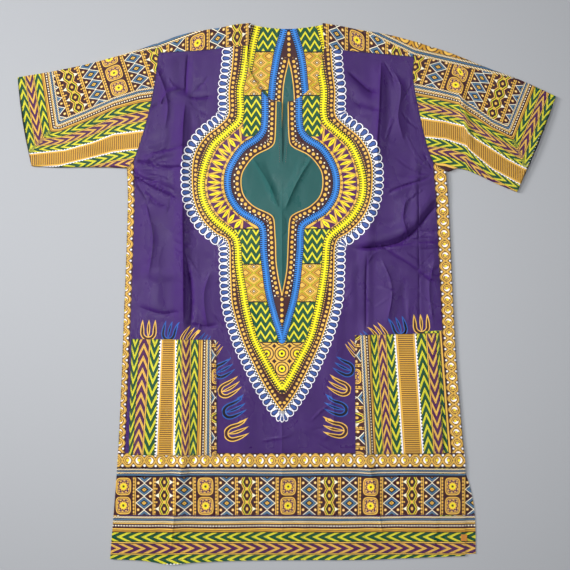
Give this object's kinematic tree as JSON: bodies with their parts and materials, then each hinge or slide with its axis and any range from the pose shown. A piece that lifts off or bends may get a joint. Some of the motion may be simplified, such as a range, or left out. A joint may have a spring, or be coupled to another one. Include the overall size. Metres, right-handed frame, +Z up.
{
  "type": "dashiki shirt",
  "caption": "Short-sleeved dashiki shirt laid flat, with a scooped neck and slit, set-in sleeves and two patch pockets.",
  "frame": {"origin": "middle of the shirt's outline, on the surface that it lies on", "axes": "+X towards the right in the front view, +Y up the shirt from hem to neck, +Z up out of the surface, towards the viewer"},
  "size_m": [0.8617, 0.8676, 0.0105],
  "materials": {
    "back_cloth": "purple printed cotton, satin wax finish",
    "front_cloth": "purple printed cotton with a neck medallion and a gold border, satin wax finish",
    "sleeve_cloth": "gold, green and purple printed cotton, satin wax finish",
    "pocket_cloth": "printed cotton in chevron columns, satin wax finish",
    "tag_cloth": "plain orange woven tape"
  },
  "bodies": {
    "root": {"back_panel": "back_cloth", "front_panel": "front_cloth", "sleeve_left": "sleeve_cloth", "sleeve_right": "sleeve_cloth", "pocket_left": "pocket_cloth", "pocket_right": "pocket_cloth", "hem_tag": "tag_cloth"}
  },
  "joints": []
}
